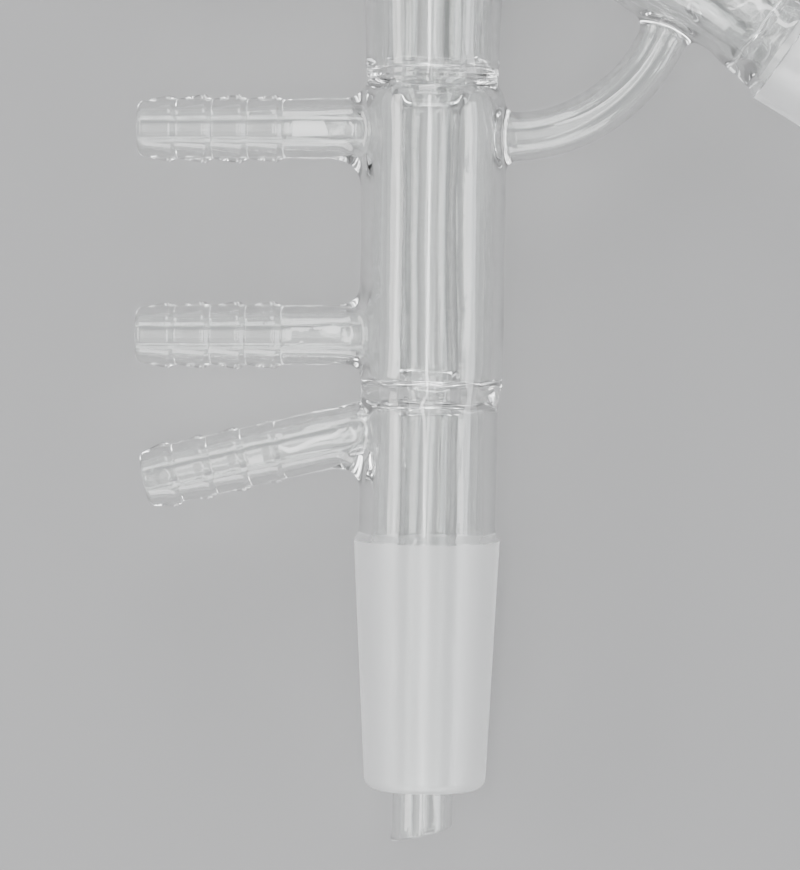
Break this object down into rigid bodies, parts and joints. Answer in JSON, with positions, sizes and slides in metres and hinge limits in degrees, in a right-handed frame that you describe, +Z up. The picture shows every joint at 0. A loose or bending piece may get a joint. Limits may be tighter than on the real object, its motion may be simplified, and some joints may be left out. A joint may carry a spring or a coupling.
{
  "type": "short path distillation head",
  "caption": "Clear glass short path distillation head: water-jacketed condenser with ribbed hose connections and a drip tip, braced to an indented column with ground cone joints.",
  "frame": {"origin": "centre of the bounding box at the surface the head lies on", "axes": "+Y up the condenser, from the drip tip to the thermometer socket; +X towards the flask joint; +Z up from the surface; all tube axes lie 12 mm over it"},
  "size_m": [0.1466, 0.2038, 0.024],
  "materials": {
    "clear_glass": "clear, fire polished; the two ground cones are frosted"
  },
  "bodies": {
    "root": {"distillation_head": "clear_glass"}
  },
  "joints": []
}
